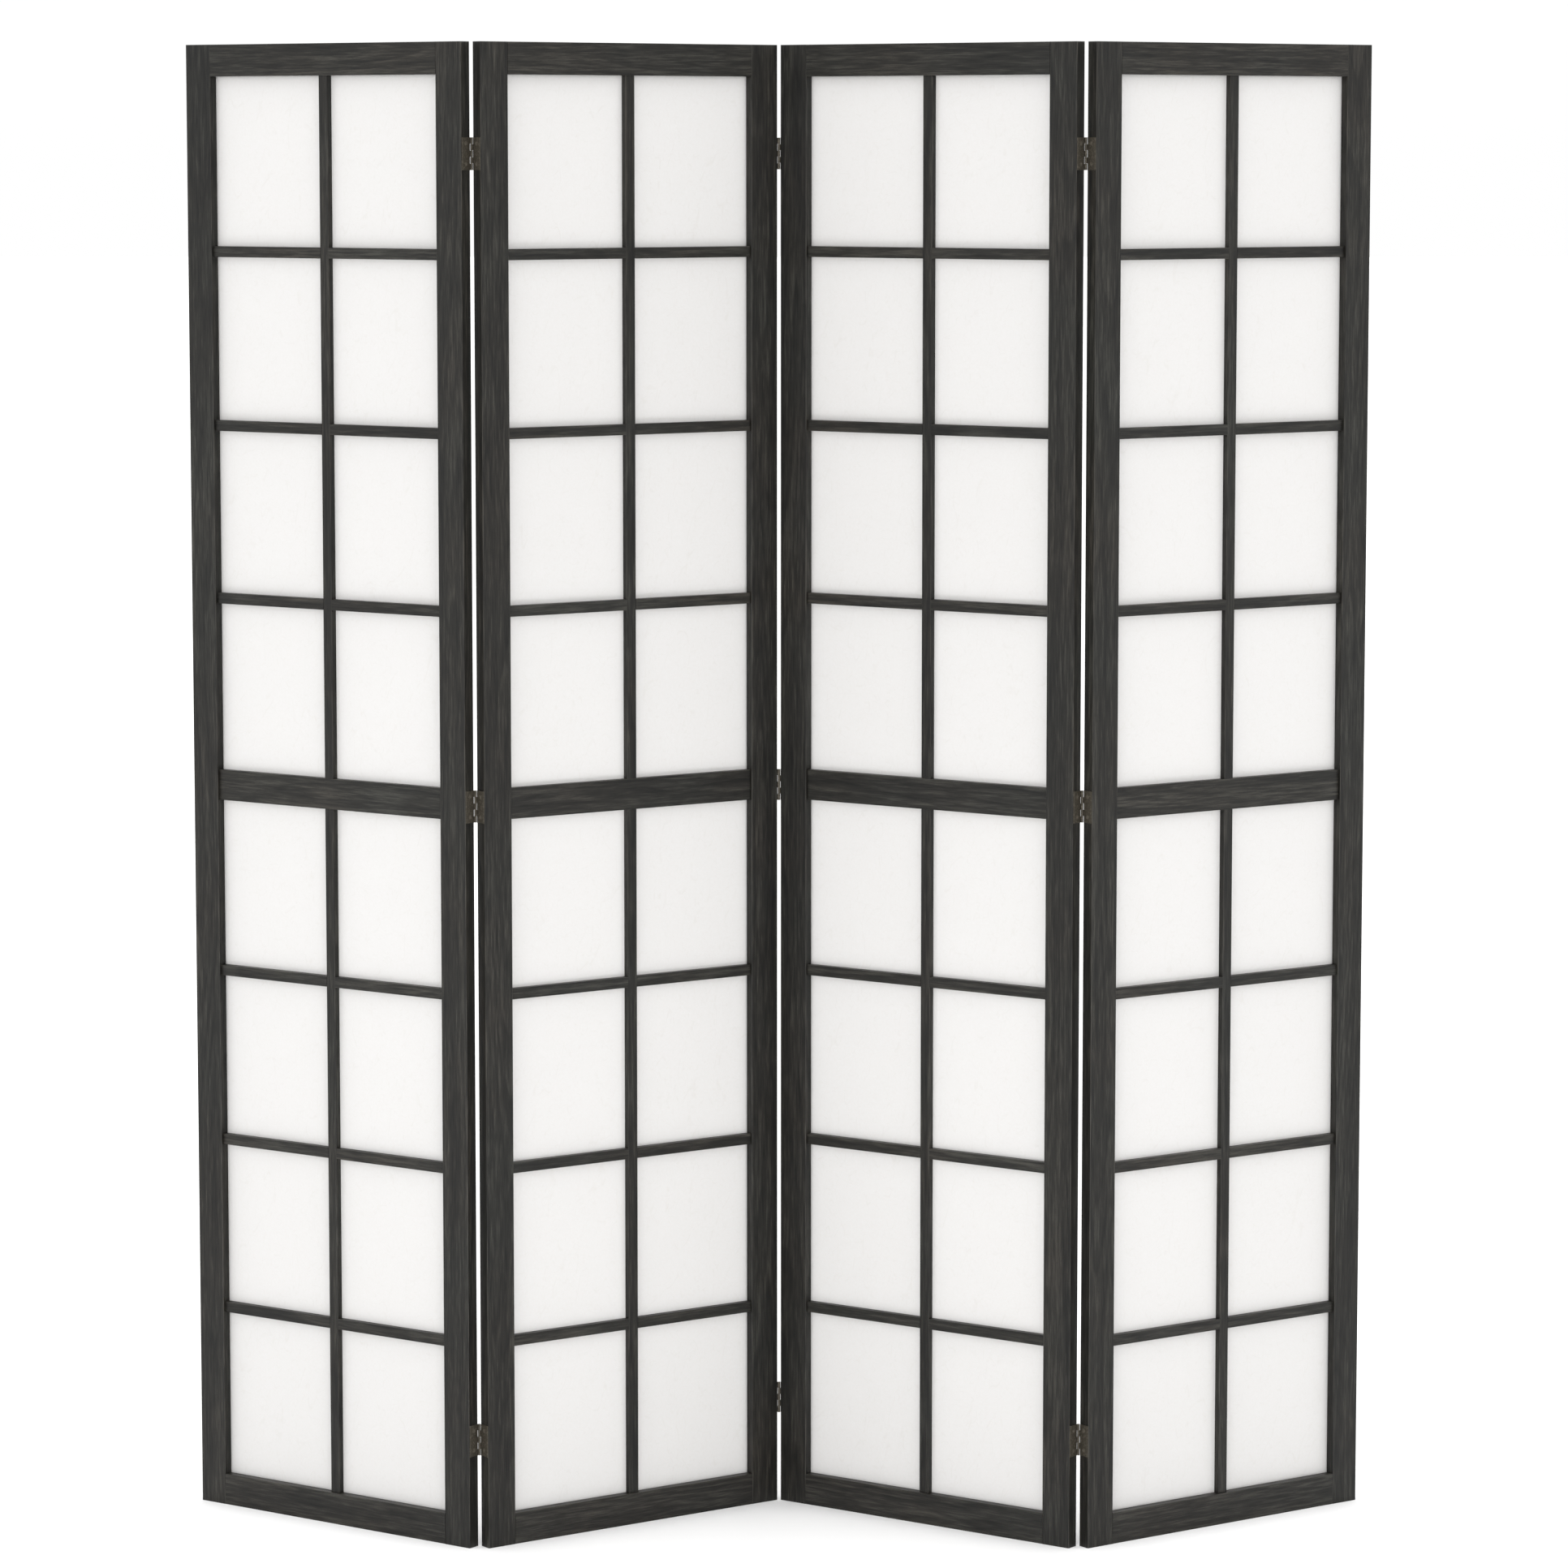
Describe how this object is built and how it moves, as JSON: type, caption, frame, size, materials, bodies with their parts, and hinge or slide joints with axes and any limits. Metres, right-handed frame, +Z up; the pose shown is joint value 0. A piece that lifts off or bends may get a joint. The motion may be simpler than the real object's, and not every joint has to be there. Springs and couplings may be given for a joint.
{
  "type": "shoji folding screen",
  "caption": "Folding room divider: hinged timber frames with a half-lapped lattice, each backed by a sheet of paper.",
  "frame": {"origin": "on the floor, in the middle of the zigzag's footprint", "axes": "+X to the viewer's right along the zigzag, +Y away from the viewer, towards the papered back, +Z up"},
  "size_m": [1.4298, 0.259, 1.79],
  "materials": {
    "stained_wood": "satin black-brown stain",
    "shoji_paper": "matte",
    "hinge_bronze": "dark antique bronze"
  },
  "bodies": {
    "panel_1": {"panel_1_stile_left": "stained_wood", "panel_1_stile_right": "stained_wood", "panel_1_rail_bottom": "stained_wood", "panel_1_rail_middle": "stained_wood", "panel_1_rail_top": "stained_wood", "panel_1_lattice_uprights": "stained_wood", "panel_1_lattice_crossbars": "stained_wood", "panel_1_paper": "shoji_paper", "left_fold_top_hinge_left_leaf": "hinge_bronze", "left_fold_middle_hinge_left_leaf": "hinge_bronze", "left_fold_bottom_hinge_left_leaf": "hinge_bronze", "left_fold_hinge_pins": "hinge_bronze"},
    "panel_2": {"panel_2_stile_left": "stained_wood", "panel_2_stile_right": "stained_wood", "panel_2_rail_bottom": "stained_wood", "panel_2_rail_middle": "stained_wood", "panel_2_rail_top": "stained_wood", "panel_2_lattice_uprights": "stained_wood", "panel_2_lattice_crossbars": "stained_wood", "panel_2_paper": "shoji_paper", "left_fold_top_hinge_right_leaf": "hinge_bronze", "left_fold_middle_hinge_right_leaf": "hinge_bronze", "left_fold_bottom_hinge_right_leaf": "hinge_bronze", "centre_fold_top_hinge_left_leaf": "hinge_bronze", "centre_fold_middle_hinge_left_leaf": "hinge_bronze", "centre_fold_bottom_hinge_left_leaf": "hinge_bronze", "centre_fold_hinge_pins": "hinge_bronze"},
    "panel_3": {"panel_3_stile_left": "stained_wood", "panel_3_stile_right": "stained_wood", "panel_3_rail_bottom": "stained_wood", "panel_3_rail_middle": "stained_wood", "panel_3_rail_top": "stained_wood", "panel_3_lattice_uprights": "stained_wood", "panel_3_lattice_crossbars": "stained_wood", "panel_3_paper": "shoji_paper", "centre_fold_top_hinge_right_leaf": "hinge_bronze", "centre_fold_middle_hinge_right_leaf": "hinge_bronze", "centre_fold_bottom_hinge_right_leaf": "hinge_bronze", "right_fold_top_hinge_left_leaf": "hinge_bronze", "right_fold_middle_hinge_left_leaf": "hinge_bronze", "right_fold_bottom_hinge_left_leaf": "hinge_bronze", "right_fold_hinge_pins": "hinge_bronze"},
    "panel_4": {"panel_4_stile_left": "stained_wood", "panel_4_stile_right": "stained_wood", "panel_4_rail_bottom": "stained_wood", "panel_4_rail_middle": "stained_wood", "panel_4_rail_top": "stained_wood", "panel_4_lattice_uprights": "stained_wood", "panel_4_lattice_crossbars": "stained_wood", "panel_4_paper": "shoji_paper", "right_fold_top_hinge_right_leaf": "hinge_bronze", "right_fold_middle_hinge_right_leaf": "hinge_bronze", "right_fold_bottom_hinge_right_leaf": "hinge_bronze"}
  },
  "joints": [
    {"name": "left_fold", "type": "hinge", "parent": "panel_2", "child": "panel_1", "pos_m": [-0.35853, -0.11651, 0.895], "axis": [0, 0, -1], "range_deg": [-71, 109]},
    {"name": "centre_fold", "type": "hinge", "parent": "panel_2", "child": "panel_3", "pos_m": [0, 0.11651, 0.895], "axis": [0, 0, -1], "range_deg": [-71, 109]},
    {"name": "right_fold", "type": "hinge", "parent": "panel_3", "child": "panel_4", "pos_m": [0.35853, -0.11651, 0.895], "axis": [0, 0, 1], "range_deg": [-71, 109]}
  ]
}
